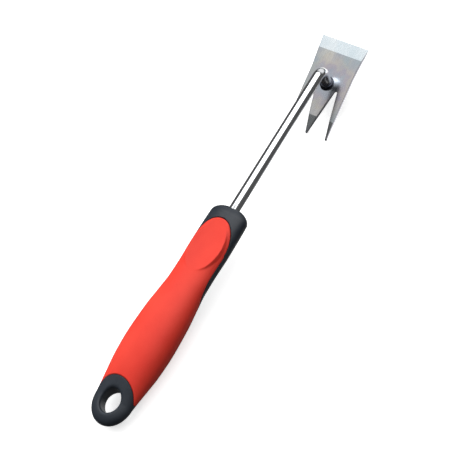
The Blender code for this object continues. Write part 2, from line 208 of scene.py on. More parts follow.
softClouds = makeClouds()
mouldGrain = makeMouldGrain()
drawnLines = makeDrawnLines()
fineScratches = makeScratches()
heatTint = makeHeatTint()
print("shader groups built")


def newMaterial(name):
    material = bpy.data.materials.new(name)
    material.use_nodes = True
    tree = material.node_tree
    return material, tree, tree.nodes["Principled BSDF"]


def objectPlace(tree, turn=(0.0, 0.0, 0.0)):
    place = tree.nodes.new("ShaderNodeTexCoord").outputs["Object"]
    return addNode(tree, "ShaderNodeMapping", {"Vector": place, "Rotation": turn}).outputs[0]


def setBump(tree, shader, height, strength, distance):
    bump = addNode(tree, "ShaderNodeBump", {
        "Height": height, "Strength": strength, "Distance": distance})
    tree.links.new(bump.outputs[0], shader.inputs["Normal"])


def shapeFrom(points, faces):
    mesh = bpy.data.meshes.new("draft")
    mesh.from_pydata([tuple(p) for p in points], [], faces)
    shape = bmesh.new()
    shape.from_mesh(mesh)
    bpy.data.meshes.remove(mesh)
    return shape


def finishPiece(name, shape, mesh, node, slot, sharp=40.0):
    # Millimetres in the tool's own frame become metres in the model's.
    bmesh.ops.recalc_face_normals(shape, faces=shape.faces)
    creases = [k for k, edge in enumerate(shape.edges) if not edge.smooth]
    loose = sum(len(edge.link_faces) != 2 for edge in shape.edges)
    shape.to_mesh(mesh)
    shape.free()
    mesh.transform(Matrix.Scale(mm, 4) @ toolSpace)
    mesh.shade_smooth()
    mesh.set_sharp_from_angle(angle=math.radians(sharp))
    for k in creases:
        mesh.edges[k].use_edge_sharp = True
    piece = bpy.data.objects.new(name, mesh)
    bpy.context.scene.collection.objects.link(piece)
    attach(piece, "root")
    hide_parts(node)
    print(name, "made:", len(mesh.polygons), "faces,", loose, "open edges")


def finishBuilt(name, shape, materials, *rest):
    mesh = bpy.data.meshes.new(name)
    for material in materials:
        mesh.materials.append(material)
    finishPiece(name, shape, mesh, *rest)


# The plate lies in its own frame: X forward to the blade, Z = 0 its upper face.
plate = {
    "legX": 109.5, "legDrop": 16.6, "pitch": math.radians(-18.4),
    "thickness": 2.5, "halfWidth": 15.4, "shoulder": 16.3, "bladeHalfWidth": 17.1,
    "flareStart": 8.0, "grindLine": 21.2, "cuttingEdge": 29.7,
    "edgeDrop": 1.0, "edgeLand": 0.35, "underGrind": 24.5,
    "prongLength": 35.0, "slotRoot": 2.8, "slotRadius": 1.25, "slotOffset": 8.15,
    "outerPoint": ((2.5, 0.0), (0.5, 0.08), (0.0, 0.35), (0.1, 0.9)),    # ahead of the tip, inset
    "middlePoint": ((0.5, 0.55), (0.1, 0.32), (0.0, 0.1)),               # ahead of the tip, half width
    "tipGrind": 12.5, "tipDrop": 1.1,
    "rounding": 0.3, "underRounding": 0.2, "support": 0.18,
    "tipFade": 0.25, "bladeFade": 0.12,        # share of the rounding left at the prongs and the blade
    "slotSteps": 16, "bladeSteps": 28, "spacing": 1.2, "wallSlope": 0.35,
}
plateSpace = (Matrix.Translation((plate["legX"], 0.0, -plate["legDrop"]))
              @ Matrix.Rotation(plate["pitch"], 4, "Y"))
tipLine = plate["tipGrind"] - plate["prongLength"]
weldPlace = tuple(toolSpace @ Vector((plate["legX"], 0, -plate["legDrop"])) * mm)


def plateOutline():
    p = plate
    back = -p["prongLength"]
    corners = [(p["cuttingEdge"], p["bladeHalfWidth"]), (p["grindLine"], p["shoulder"]),
               (p["flareStart"], p["halfWidth"])]
    corners += [(back + run, p["halfWidth"] - inset) for run, inset in p["outerPoint"]]
    for k in range(p["slotSteps"] + 1):        # round root of the slot
        angle = math.pi / 2 - math.pi * k / p["slotSteps"]
        corners.append((-p["slotRoot"] - p["slotRadius"] * (1 - math.cos(angle)),
                        p["slotOffset"] + p["slotRadius"] * math.sin(angle)))
    corners += [(back + run, width) for run, width in p["middlePoint"]]
    side = []
    for a, b in zip(corners, corners[1:]):
        count = max(1, round(math.dist(a, b) / p["spacing"]))
        stops = {k / count for k in range(count)}
        for line in (p["grindLine"], p["underGrind"], tipLine):
            if (a[0] - line) * (b[0] - line) < 0:
                exact = (line - a[0]) / (b[0] - a[0])
                stops = {s for s in stops if s == 0 or abs(s - exact) * count > 0.4} | {exact}
        side += [(a[0] + (b[0] - a[0]) * s, a[1] + (b[1] - a[1]) * s) for s in sorted(stops)]
    side.append(corners[-1])
    otherSide = [(x, -y) for x, y in reversed(side)]
    edge = np.linspace(-p["bladeHalfWidth"], p["bladeHalfWidth"], p["bladeSteps"] + 1)[1:-1]
    return np.array(side + otherSide + [(p["cuttingEdge"], y) for y in edge])


def plateTop(x):
    p = plate
    forward = np.clip((x - p["grindLine"]) / (p["cuttingEdge"] - p["grindLine"]), 0, None)
    return -p["edgeDrop"] * forward - p["tipDrop"] * np.clip((tipLine - x) / p["tipGrind"], 0, None)


def plateUnder(x):
    p = plate
    forward = np.clip((x - p["underGrind"]) / (p["cuttingEdge"] - p["underGrind"]), 0, None)
    return -p["thickness"] + (p["thickness"] - p["edgeDrop"] - p["edgeLand"]) * forward


def inwardSteps(outline):
    # Unit inset of each corner, longer at a sharp one.
    ahead = np.roll(outline, -1, 0) - outline
    ahead /= np.linalg.norm(ahead, axis=1)[:, None]
    both = ahead + np.roll(ahead, 1, 0)
    both /= np.linalg.norm(both, axis=1)[:, None]
    inward = np.stack([both[:, 1], -both[:, 0]], 1)
    square = np.stack([ahead[:, 1], -ahead[:, 0]], 1)
    return inward / np.clip((inward * square).sum(1), 0.5, 1.0)[:, None]


def isInside(place, outline):
    x, y = outline[:, 0], outline[:, 1]
    nextX, nextY = np.roll(x, -1), np.roll(y, -1)
    spans = (y > place[1]) != (nextY > place[1])
    rise = np.where(spans, nextY - y, 1.0)
    return np.count_nonzero(spans & (place[0] < x + (nextX - x) * (place[1] - y) / rise)) % 2 == 1


def makePlate():
    p = plate
    outline = plateOutline()
    inward = inwardSteps(outline)
    x = outline[:, 0]
    count = len(outline)
    turn = np.roll(outline, -1, 0)
    if (outline[:, 0] * turn[:, 1] - outline[:, 1] * turn[:, 0]).sum() > 0:
        inward = -inward
    fade = np.interp(x, [-p["prongLength"], tipLine, p["grindLine"], p["cuttingEdge"]],
                     [p["tipFade"], 1.0, 1.0, p["bladeFade"]])
    shape = bmesh.new()

    def ring(inset, drop, top):
        flat = outline + inward * inset[:, None]
        for line in (p["grindLine"], p["underGrind"], tipLine):
            flat[np.isclose(x, line), 0] = line
        height = plateTop(flat[:, 0]) - drop if top else plateUnder(flat[:, 0]) + drop
        return flat, [shape.verts.new((*place, z)) for place, z in zip(flat, height)]

    def join(low, high):
        for k in range(count):
            n = (k + 1) % count
            shape.faces.new((low[k], low[n], high[n], high[k]))

    def roundedFace(radius, top, lines):
        size = radius * fade
        rings = []
        for angle in np.radians((0, 22, 45, 68, 90)):
            rings.append(ring(size * (1 - math.cos(angle)), size * (1 - math.sin(angle)), top))
        rings.append(ring(size + p["support"] * fade, 0 * size, top))
        for (_, low), (_, high) in zip(rings, rings[1:]):
            join(low, high)
        flat, verts = rings[-1]
        ties = []
        for line in lines:                     # the fill keeps an edge along each ground line
            on = sorted(np.nonzero(np.isclose(x, line))[0], key=lambda k: flat[k, 1])
            ties += [(int(a), int(b)) for a, b in zip(on[::2], on[1::2])]
        ties += [(k, (k + 1) % count) for k in range(count)]
        corners = [Vector(place) for place in flat]
        _, _, faces, source, _, _ = delaunay_2d_cdt(corners, ties, [], 0, 1e-6, True)
        for face in faces:
            own = [source[k][0] for k in face]
            if isInside(flat[own].mean(0), flat):
                shape.faces.new([verts[k] for k in own])
        return rings[0][1]

    upper = roundedFace(p["rounding"], True, (p["grindLine"], tipLine))
    lower = roundedFace(p["underRounding"], False, (p["underGrind"],))
    join(lower, upper)
    bmesh.ops.recalc_face_normals(shape, faces=shape.faces)
    for face in shape.faces:
        centre, up = face.calc_center_median(), face.normal.z
        bladeGround = centre.x > (p["grindLine"] if up > 0 else p["underGrind"])
        if abs(up) < p["wallSlope"]:
            face.material_index = 2
        elif bladeGround or (up > 0 and centre.x < tipLine):
            face.material_index = 1
    for edge in shape.edges:
        if {face.material_index for face in edge.link_faces} == {0, 1}:
            edge.smooth = False
    shape.transform(plateSpace)
    return shape


handle = {
    "stations": (                              # back from the front, half width, crown, keel
        (7.5, 13.0, 6.7, 7.4), (14.0, 13.15, 7.1, 7.9), (30.0, 13.25, 7.4, 8.4),
        (46.0, 12.85, 7.5, 8.6), (55.0, 12.85, 8.3, 9.1), (66.0, 13.8, 9.7, 10.2),
        (80.0, 15.2, 11.2, 11.4), (99.0, 15.9, 11.9, 12.1), (112.0, 15.45, 11.0, 11.4),
        (123.0, 14.4, 9.0, 9.3), (131.0, 13.55, 7.0, 7.2), (137.0, 12.95, 5.9, 6.0)),
    "dome": 7.5, "domePower": 2.1, "eyeEnd": 15.8, "power": 2.3,
    "quarter": 44, "typical": (13.4, 8.6),     # grid columns in a quarter of a typical section
    "domeRows": 14, "bodyRows": ((52.0, 105), (118.0, 83)), "tailRows": 39,
    "endRows": 33, "endTurn": math.radians(88),
    "mouth": 4.15, "mouthRound": 0.4, "bore": 3.8, "boreRows": (3.0, 30.0, 60.0), "boreEnd": 95.3,
    "coverLine": (                             # where the cover ends on each side: back, height
        (0.0, 5.9), (12.0, 5.5), (21.0, 3.7), (30.0, 2.5), (48.0, 2.4),
        (58.0, 0.4), (67.0, -4.0), (77.0, -10.0), (86.0, -17.0)),
    "coverBlend": 1.2, "archCentre": 136.7, "archRadius": 13.5,
    "coverDepth": 2.0, "seatDepth": 2.3, "gap": 0.3,
    "coverLip": 0.55, "coreLip": 0.3,
    "eye": 138.2, "eyeLength": 7.4, "eyeWidth": 6.1, "eyeLip": 2.4,
}
pad = {
    "centre": 30.5, "halfLength": 17.9, "halfWidth": 10.5, "height": 6.9, "foot": 1.0,
    "flare": 2.2, "tilt": 0.035, "dish": 0.7, "dishHalf": 5.0, "rim": 0.95, "flankRise": 1.03,
    "rimRound": 0.9, "footRound": 0.25, "fade": 0.35,
}
tang = {"ears": (66.0, 84.0), "earLength": 9.0, "widen": 0.34, "flatten": 0.30,
        "boreShare": 0.91, "rows": (61, 90, 30)}


def smoothCurve(table, column, where):
    knots, values = table[:, 0], table[:, column]
    steps = np.diff(knots)
    slopes = np.diff(values) / steps
    total = slopes[:-1] + slopes[1:]
    same = slopes[:-1] * slopes[1:] > 0
    inner = np.where(same, 2 * slopes[:-1] * slopes[1:] / np.where(same, total, 1.0), 0.0)
    tangents = np.concatenate([slopes[:1], inner, slopes[-1:]])
    i = np.clip(np.searchsorted(knots, where) - 1, 0, len(steps) - 1)
    t = (where - knots[i]) / steps[i]
    return ((2 * t**3 - 3 * t**2 + 1) * values[i] + (t**3 - 2 * t**2 + t) * steps[i] * tangents[i]
            + (3 * t**2 - 2 * t**3) * values[i + 1] + (t**3 - t**2) * steps[i] * tangents[i + 1])


def handleSize(back):
    table = np.array(handle["stations"])
    first, last = table[0, 0], table[-1, 0]
    inside = np.clip(back, first, last)
    width, crown, keel = (smoothCurve(table, k, inside) for k in (1, 2, 3))
    front = np.clip(back / handle["dome"], 0, 1)
    power = handle["domePower"]
    rise = (1 - (1 - front) ** power) ** (1 / power)
    t = np.clip((back - last) / handle["eyeEnd"], 0, 1)
    thin = rise * np.sqrt(1 - t**4)
    return width * rise * np.sqrt(1 - t**2), crown * thin, keel * thin


def sectionPoint(back, angle, inset=0.0):
    width, crown, keel = handleSize(back)
    side, up = np.cos(angle), np.sin(angle)
    share = 2 / handle["power"]
    y = (width - inset) * np.sign(side) * np.abs(side) ** share
    z = np.sign(up) * np.abs(up) ** share * (np.where(up > 0, crown, keel) - inset)
    return np.stack([-back + 0 * y, y, z], -1)


def sectionAngles():
    # Angles that are evenly spaced round a typical section.
    fine = np.linspace(0, math.pi / 2, 4000)
    share = 2 / handle["power"]
    width, height = handle["typical"]
    y, z = width * np.cos(fine) ** share, height * np.sin(fine) ** share
    length = np.concatenate([[0], np.cumsum(np.hypot(np.diff(y), np.diff(z)))])
    quarter = np.interp(np.linspace(0, length[-1], handle["quarter"] + 1), length, fine)
    half = np.concatenate([quarter[:-1], math.pi - quarter[::-1][:-1]])
    return np.concatenate([half, half + math.pi])


def handleGrid():
    h = handle
    angles = sectionAngles()
    width, crown, keel = handleSize(np.array(h["dome"]))
    share, power = 2 / h["power"], h["domePower"]
    reach = np.hypot(width * np.abs(np.cos(angles)) ** share,
                     np.where(np.sin(angles) > 0, crown, keel) * np.abs(np.sin(angles)) ** share)
    start = np.arcsin((h["mouth"] / reach) ** (power / 2))
    rows = []
    for t in np.linspace(0, 1, h["domeRows"] + 1)[:-1]:    # the domed front, from the bore's mouth
        turn = start + (math.pi / 2 - start) * t
        rows.append(h["dome"] * (1 - np.cos(turn) ** (2 / power)))
    last = h["stations"][-1][0]
    stops = [h["dome"]]
    for end, count in (*h["bodyRows"], (last, h["tailRows"])):
        stops += list(np.linspace(stops[-1], end, count + 1)[1:])
    stops += list(last + h["eyeEnd"] * np.sin(np.linspace(0, h["endTurn"], h["endRows"] + 1))[1:])
    rows += [np.full(len(angles), stop) for stop in stops]
    backs = np.array(rows)
    return backs, np.tile(angles, (len(backs), 1))


def smoothLess(a, b, reach):
    h = np.clip(reach - np.abs(a - b), 0, None) / reach
    return np.minimum(a, b) - h * h * reach / 4


def coverField(back, angle):
    # Above zero where the red cover lies.
    point = sectionPoint(back, angle)
    y, z = np.abs(point[..., 1]), point[..., 2]
    line = np.array(handle["coverLine"])
    above = z - smoothCurve(line, 1, np.clip(back, line[0, 0], line[-1, 0]))
    length, width = pad["halfLength"] + pad["flare"], pad["halfWidth"] + pad["flare"]
    nose = (1 - np.hypot((back - pad["centre"]) / length, y / width)) * width
    flank = width + np.clip(back - pad["centre"], 0, None) * pad["flankRise"] - y
    front = smoothLess(above, np.where(back < pad["centre"], nose, flank), handle["coverBlend"])
    ahead = np.minimum(back - handle["archCentre"], 0)
    return np.minimum(front, np.hypot(ahead, y) - handle["archRadius"])


def eyeField(back, angle):
    # Above zero outside the rounded rim of the hanging eye.
    y = sectionPoint(back, angle)[..., 1]
    length, width = handle["eyeLength"] + handle["eyeLip"], handle["eyeWidth"] + handle["eyeLip"]
    return (np.hypot((back - handle["eye"]) / length, y / width) - 1) * width


def surfaceAt(field, back, angle):
    # Distance from the field's border, the direction of its rise, and the outward normal.
    e, t = 0.02, 0.002
    along = (sectionPoint(back + e, angle) - sectionPoint(back - e, angle)) / (2 * e)
    around = (sectionPoint(back, angle + t) - sectionPoint(back, angle - t)) / (2 * t)
    fb = (field(back + e, angle) - field(back - e, angle)) / (2 * e)
    fa = (field(back, angle + t) - field(back, angle - t)) / (2 * t)
    aa, ab, bb = (along * along).sum(-1), (along * around).sum(-1), (around * around).sum(-1)
    grid = aa * bb - ab * ab
    grid = np.where(np.abs(grid) < 1e-9, 1e-9, grid)
    rise = (((bb * fb - ab * fa) / grid)[..., None] * along
            + ((aa * fa - ab * fb) / grid)[..., None] * around)
    steep = np.maximum(np.linalg.norm(rise, axis=-1), 1e-3)
    normal = np.cross(along, around)
    normal /= np.maximum(np.linalg.norm(normal, axis=-1), 1e-9)[..., None]
    point = sectionPoint(back, angle)
    outward = np.sign((normal[..., 1:] * point[..., 1:]).sum(-1))
    return field(back, angle) / steep, rise / steep[..., None], normal * outward[..., None]


def trimGrid(backs, angles, field, level):
    # Moves the nearest grid points onto the border, so that faces end along it.
    def distance(back, angle):
        return surfaceAt(field, back, angle)[0] - level

    rows, cols = backs.shape
    value = distance(backs, angles)
    backs, angles = backs.copy(), angles.copy()
    along = np.argwhere(value[:-1] * value[1:] < 0)
    around = np.argwhere(value * np.roll(value, -1, 1) < 0)
    near = np.concatenate([along, around])
    far = np.concatenate([along + (1, 0), (around + (0, 1)) % (rows, cols)])
    b1, b2 = backs[tuple(near.T)], backs[tuple(far.T)]
    a1, a2 = angles[tuple(near.T)], angles[tuple(far.T)]
    a2 = np.where(a2 < a1 - math.pi, a2 + 2 * math.pi, a2)
    sign = np.sign(value[tuple(near.T)])
    low, high = np.zeros(len(b1)), np.ones(len(b1))
    for _ in range(14):
        middle = (low + high) / 2
        same = np.sign(distance(b1 + (b2 - b1) * middle, a1 + (a2 - a1) * middle)) == sign
        low, high = np.where(same, middle, low), np.where(same, high, middle)
    share = (low + high) / 2
    moved = np.minimum(share, 1 - share)
    state = np.sign(value)
    for k in np.argsort(-moved):
        corner = tuple(near[k] if share[k] < 0.5 else far[k])
        backs[corner] = b1[k] + (b2[k] - b1[k]) * share[k]
        angles[corner] = a1[k] + (a2[k] - a1[k]) * share[k]
        state[corner] = 0
    return backs, angles, state.ravel()


def gridFaces(rows, cols):
    faces = []
    for i in range(rows - 1):
        for j in range(cols):
            n = (j + 1) % cols
            faces.append((i * cols + j, (i + 1) * cols + j, (i + 1) * cols + n, i * cols + n))
    return faces


def splitFaces(faces, state):
    inside, outside = [], []
    for face in faces:
        marks = [state[v] for v in face]
        if min(marks) >= 0:
            inside.append(face)
        elif max(marks) <= 0:
            outside.append(face)
        else:                                  # cut across between its two border corners
            k = marks.index(0)
            face = face[k:] + face[:k]
            for half in ((face[0], face[1], face[2]), (face[0], face[2], face[3])):
                (inside if max(state[v] for v in half) > 0 else outside).append(half)
    return inside, outside


def borderLoops(faces, others):
    def sides(face):
        return zip(face, face[1:] + face[:1])

    shared = {frozenset(side) for face in others for side in sides(face)}
    follow = {a: b for face in faces for a, b in sides(face) if frozenset((a, b)) in shared}
    loops = []
    while follow:
        loop = [next(iter(follow))]
        while loop[-1] in follow:
            loop.append(follow.pop(loop[-1]))
        loops.append(loop[:-1])
    return loops


class Skin:
    # Collects the points and faces of one closed shell.
    def __init__(self):
        self.points, self.faces = [], []

    def add(self, points):
        start = len(self.points)
        self.points.extend(points)
        return list(range(start, len(self.points)))

    def addFaces(self, faces, places, flip=False):
        used = sorted({v for face in faces for v in face})
        names = dict(zip(used, self.add(places[used])))
        self.faces += [tuple(names[v] for v in (face[::-1] if flip else face)) for face in faces]
        return names

    def strip(self, low, high):
        count = len(low)
        for k in range(count):
            n = (k + 1) % count
            self.faces.append((low[k], low[n], high[n], high[k]))

    def strips(self, rings):
        for low, high in zip(rings, rings[1:]):
            self.strip(low, high)


def raisePad(points):
    # The thumb rest: an oval block with rounded rims, dished on top.
    raised = points.copy()
    p = pad
    dx, y, z = -points[:, 0] - p["centre"], points[:, 1], points[:, 2]
    ratio = np.hypot(dx / p["halfLength"], y / p["halfWidth"])
    radius = np.hypot(dx, y) / np.maximum(ratio, 1e-6)
    beyond = (ratio - 1) * radius
    rim = p["height"] + p["tilt"] * dx
    wall = rim - beyond * (p["height"] - p["foot"]) / p["flare"]
    block = smoothLess(rim + 0.1, wall, p["rimRound"])
    top = -smoothLess(-z, -block, p["footRound"])
    shrink = math.sqrt(1 - (1 - p["dish"] / p["dishHalf"]) ** 2)
    dip = np.clip(np.hypot(dx / p["halfLength"], y / p["halfWidth"]) * shrink / p["rim"], 0, 0.999)
    dish = rim - p["dish"] + p["dishHalf"] * (1 - np.sqrt(1 - dip**2))
    changed = (z > 0) & (ratio < 1.5)
    raised[:, 2] = np.where(changed, smoothLess(top, dish, p["fade"]), z)
    return raised


lipTurns = np.radians((22, 45, 68, 90))


def makeCover(grid):
    h = handle
    backs, angles, state = trimGrid(*grid, coverField, h["coverLip"])
    inside, outside = splitFaces(gridFaces(*backs.shape), state)
    back, angle = backs.ravel(), angles.ravel()
    outer = raisePad(sectionPoint(back, angle))
    inner = sectionPoint(back, angle, h["coverDepth"])
    skin = Skin()
    outerNames = skin.addFaces(inside, outer)
    innerNames = skin.addFaces(inside, inner, flip=True)
    for loop in borderLoops(inside, outside):
        _, rise, normal = surfaceAt(coverField, back[loop], angle[loop])
        rings = [[outerNames[v] for v in loop]]
        for turn in lipTurns:
            rings.append(skin.add(outer[loop] - h["coverLip"]
                                  * (rise * math.sin(turn) + normal * (1 - math.cos(turn)))))
        rings.append(skin.add(inner[loop] - h["coverLip"] * rise))
        rings.append([innerNames[v] for v in loop])
        skin.strips(rings)
    return shapeFrom(skin.points, skin.faces)


def earAmount(back):
    nearest = np.min([np.abs(back - centre) for centre in tang["ears"]], axis=0)
    return 0.5 + 0.5 * np.cos(math.pi * np.clip(nearest / (tang["earLength"] / 2), 0, 1))


def addBore(skin, mouth):
    # Rounded mouth, then the bore with its two flats for the tang's ears, then its end.
    places = np.array([skin.points[v] for v in mouth])
    angle = np.arctan2(places[:, 2], places[:, 1])
    front = -places[:, 0]
    rings = [mouth]
    bore, mouthRadius = handle["bore"], handle["mouth"]
    for turn in lipTurns:
        radius = mouthRadius - (mouthRadius - bore) * math.sin(turn)
        back = front + handle["mouthRound"] * (1 - math.cos(turn))
        rings.append(skin.add(np.stack([-back, radius * np.cos(angle), radius * np.sin(angle)], 1)))
    stops = [*handle["boreRows"], *np.linspace(*tang["rows"]), handle["boreEnd"]]
    for stop in np.array(stops):
        amount = earAmount(stop)
        wide = 1 + tang["widen"] * amount
        flat = 1 - tang["flatten"] * tang["boreShare"] * amount
        rings.append(skin.add(np.stack([
            np.full_like(angle, -stop), bore * np.cos(angle) * wide, bore * np.sin(angle) * flat], 1)))
    skin.strips(rings)
    skin.faces.append(tuple(rings[-1]))


def addEye(skin, keep, hole, names, back, angle):
    # Rolled rims and the wall between them.
    h = handle
    centre = np.array([-h["eye"], 0.0])
    size = np.array([h["eyeLength"], h["eyeWidth"]])
    walls = []
    for loop in borderLoops(keep, hole):
        loop = np.array(loop)
        _, _, normal = surfaceAt(eyeField, back[loop], angle[loop])
        start = sectionPoint(back[loop], angle[loop])
        turn = np.arctan2(start[:, 1] / (size[1] + h["eyeLip"]),
                          (start[:, 0] - centre[0]) / (size[0] + h["eyeLip"]))
        order = np.argsort(turn)
        loop, start, normal, turn = loop[order], start[order], normal[order], turn[order]
        up = np.sign(start[0, 2])
        flat = centre + size * np.stack([np.cos(turn), np.sin(turn)], 1)
        step = flat - start[:, :2]
        crest = start[:, 2] - (normal[:, :2] * step).sum(1) / normal[:, 2]
        peak = np.column_stack([flat, crest])
        foot = np.column_stack([flat, crest - up * h["eyeLip"]])
        rings = [[names[v] for v in loop]]
        for t in np.linspace(0, 1, 9)[1:]:
            rings.append(skin.add((1 - t) ** 2 * start + 2 * t * (1 - t) * peak + t * t * foot))
        skin.strips(rings)
        walls.append((up, rings[-1]))
    (_, low), (_, high) = sorted(walls, key=lambda wall: wall[0])
    bottom, top = (np.array([skin.points[v] for v in ring]) for ring in (low, high))
    between = [skin.add(bottom + (top - bottom) * t) for t in (0.25, 0.5, 0.75)]
    skin.strips([low, *between, high])


def makeCore(grid):
    h = handle
    backs, angles, state = trimGrid(*grid, coverField, -h["gap"] - h["coreLip"])
    backs, angles, eyeState = trimGrid(backs, angles, eyeField, 0.0)
    seat, shown = splitFaces(gridFaces(*backs.shape), state)
    keep, hole = splitFaces(shown, eyeState)
    back, angle = backs.ravel(), angles.ravel()
    outer = sectionPoint(back, angle)
    under = sectionPoint(back, angle, h["seatDepth"])
    skin = Skin()
    shownNames = skin.addFaces(keep, outer)
    seatNames = skin.addFaces(seat, under)
    for loop in borderLoops(keep, seat):
        _, rise, normal = surfaceAt(coverField, back[loop], angle[loop])
        rings = [[shownNames[v] for v in loop]]
        for turn in lipTurns:
            rings.append(skin.add(outer[loop] + h["coreLip"]
                                  * (rise * math.sin(turn) - normal * (1 - math.cos(turn)))))
        rings.append([seatNames[v] for v in loop])
        skin.strips(rings)
    cols = backs.shape[1]
    addEye(skin, keep, hole, shownNames, back, angle)
    addBore(skin, [shownNames[v] for v in range(cols)])
    lastRow = [shownNames[v] for v in range(len(back) - cols, len(back))]
    pole = skin.add([(-h["stations"][-1][0] - h["eyeEnd"], 0.0, 0.0)])[0]
    skin.faces += [(lastRow[k], lastRow[(k + 1) % cols], pole) for k in range(cols)]
    return shapeFrom(skin.points, skin.faces)


def growMesh(name, tree, inputs, curve=None):
    # Evaluates a Geometry Nodes tree once and keeps only the plain mesh.
    base = curve or bpy.data.meshes.new(name + "Seed")
    holder = bpy.data.objects.new(name + "Holder", base)
    step = holder.modifiers.new(name, "NODES")
    step.node_group = tree
    for item in tree.interface.items_tree:
        if item.in_out == "INPUT" and item.name in inputs:
            step[item.identifier] = inputs[item.name]
    bpy.context.scene.collection.objects.link(holder)
    graph = bpy.context.evaluated_depsgraph_get()
    mesh = bpy.data.meshes.new_from_object(holder.evaluated_get(graph), depsgraph=graph)
    holder.modifiers.clear()
    bpy.data.objects.remove(holder)
    return mesh


def finishGrown(name, mesh, *rest):
    mesh.name = name
    shape = bmesh.new()
    shape.from_mesh(mesh)
    bmesh.ops.remove_doubles(shape, verts=shape.verts, dist=0.001)
    for edge in shape.edges:
        edge.smooth = True
    finishPiece(name, shape, mesh, *rest)


def startShape(name, sizes):
    return newGroup(name, "GeometryNodeTree", ("Geometry", "NodeSocketGeometry"), sizes,
                    {"Geometry": "NodeSocketGeometry"})


def endShape(tree, geometry, place, material, out):
    shaped = addNode(tree, "GeometryNodeSetPosition", {"Geometry": geometry, "Position": place})
    real = addNode(tree, "GeometryNodeRealizeInstances", {"Geometry": shaped.outputs[0]})
    final = addNode(tree, "GeometryNodeSetMaterial", {
        "Geometry": real.outputs[0], "Material": material})
    tree.links.new(final.outputs[0], out["Geometry"])
    return tree


def storeOn(tree, geometry, name, value, kind="FLOAT"):
    return addNode(tree, "GeometryNodeStoreNamedAttribute", {
        "Geometry": geometry, "Name": name, "Value": value}, data_type=kind, domain="POINT").outputs[0]


rod = {
    "Radius": 3.5, "Bend Radius": 6.0, "Bend Steps": 14, "Sides": 56, "Step": 0.8,
    "Ear A": -tang["ears"][0], "Ear B": -tang["ears"][1], "Ear Half": tang["earLength"] / 2,
    "Ear Widen": tang["widen"], "Ear Flatten": tang["flatten"],
    "Leg X": plate["legX"], "Foot Slope": math.tan(-plate["pitch"]),
    "Foot Z": -plate["legDrop"] + 0.3 / math.cos(plate["pitch"]), "Foot Reach": 4.0,
}
tangEnd = 95.0


def buildRodTree(material):
    tree, given, out = startShape("sweptRod", rod)
    bend = addNode(tree, "GeometryNodeFilletCurve", {
        "Curve": given["Geometry"], "Radius": given["Bend Radius"], "Count": given["Bend Steps"]},
        mode="POLY")
    even = addNode(tree, "GeometryNodeResampleCurve", {
        "Curve": bend.outputs[0], "Length": given["Step"]}, mode="LENGTH")
    length = tree.nodes.new("GeometryNodeSplineParameter").outputs["Length"]
    marked = storeOn(tree, even.outputs[0], "alongRod", length)
    circle = addNode(tree, "GeometryNodeCurvePrimitiveCircle", {
        "Resolution": given["Sides"], "Radius": given["Radius"]}, mode="RADIUS")
    around = tree.nodes.new("GeometryNodeInputPosition").outputs[0]
    ring = storeOn(tree, circle.outputs[0], "aroundRod", around, "FLOAT_VECTOR")
    swept = addNode(tree, "GeometryNodeCurveToMesh", {
        "Curve": marked, "Profile Curve": ring, "Fill Caps": True})

    place = tree.nodes.new("GeometryNodeInputPosition").outputs[0]
    axes = addNode(tree, "ShaderNodeSeparateXYZ", {0: place}).outputs
    near = [calc(tree, "ABSOLUTE", calc(tree, "SUBTRACT", axes["X"], given[ear]))
            for ear in ("Ear A", "Ear B")]
    share = calc(tree, "DIVIDE", calc(tree, "MINIMUM", *near), given["Ear Half"])
    share = calc(tree, "MULTIPLY", calc(tree, "MINIMUM", share, 1.0), math.pi)
    ear = calc(tree, "MULTIPLY", calc(tree, "ADD", calc(tree, "COSINE", share), 1.0), 0.5)
    wide = calc(tree, "ADD", calc(tree, "MULTIPLY", ear, given["Ear Widen"]), 1.0)
    flat = calc(tree, "SUBTRACT", 1.0, calc(tree, "MULTIPLY", ear, given["Ear Flatten"]))
    # the leg's last few millimetres are sheared to sit square on the sloping plate
    low = calc(tree, "SUBTRACT", given["Foot Z"], axes["Z"])
    foot = addNode(tree, "ShaderNodeMath", {
        0: calc(tree, "DIVIDE", low, given["Foot Reach"]), 1: 1.0},
        operation="ADD", use_clamp=True).outputs[0]
    past = calc(tree, "SUBTRACT", axes["X"], given["Leg X"])
    lean = calc(tree, "MULTIPLY", past, given["Foot Slope"])
    z = calc(tree, "ADD", calc(tree, "MULTIPLY", axes["Z"], flat), calc(tree, "MULTIPLY", lean, foot))
    moved = addNode(tree, "ShaderNodeCombineXYZ", {
        "X": axes["X"], "Y": calc(tree, "MULTIPLY", axes["Y"], wide), "Z": z})
    return endShape(tree, swept.outputs[0], moved.outputs[0], material, out)


def makeRod(material):
    line = bpy.data.curves.new("rodLine", "CURVE")
    line.dimensions = "3D"
    spline = line.splines.new("POLY")
    route = [(-tangEnd, 0.0, 0.0), (rod["Leg X"], 0.0, 0.0), (rod["Leg X"], 0.0, rod["Foot Z"])]
    spline.points.add(len(route) - 1)
    for point, place in zip(spline.points, route):
        point.co = (*place, 1.0)
    return growMesh("steelRod", buildRodTree(material), rod, line)


# The bead is a closed ring whose cross-section runs down its swollen face, back
# along the plate and up the rod. The ripples follow its way round.
bead = {
    "Sides": 300, "Profile Steps": 40, "Inner": 3.46, "Outer": 4.7, "Height": 2.0,
    "Ripples": 24.0, "Ripple Height": 0.10, "Lag": 0.35, "Lumps": 0.25, "Power": 0.85,
    "Leg X": plate["legX"], "Foot Z": -plate["legDrop"] - 0.05, "Slope": math.tan(-plate["pitch"]),
}


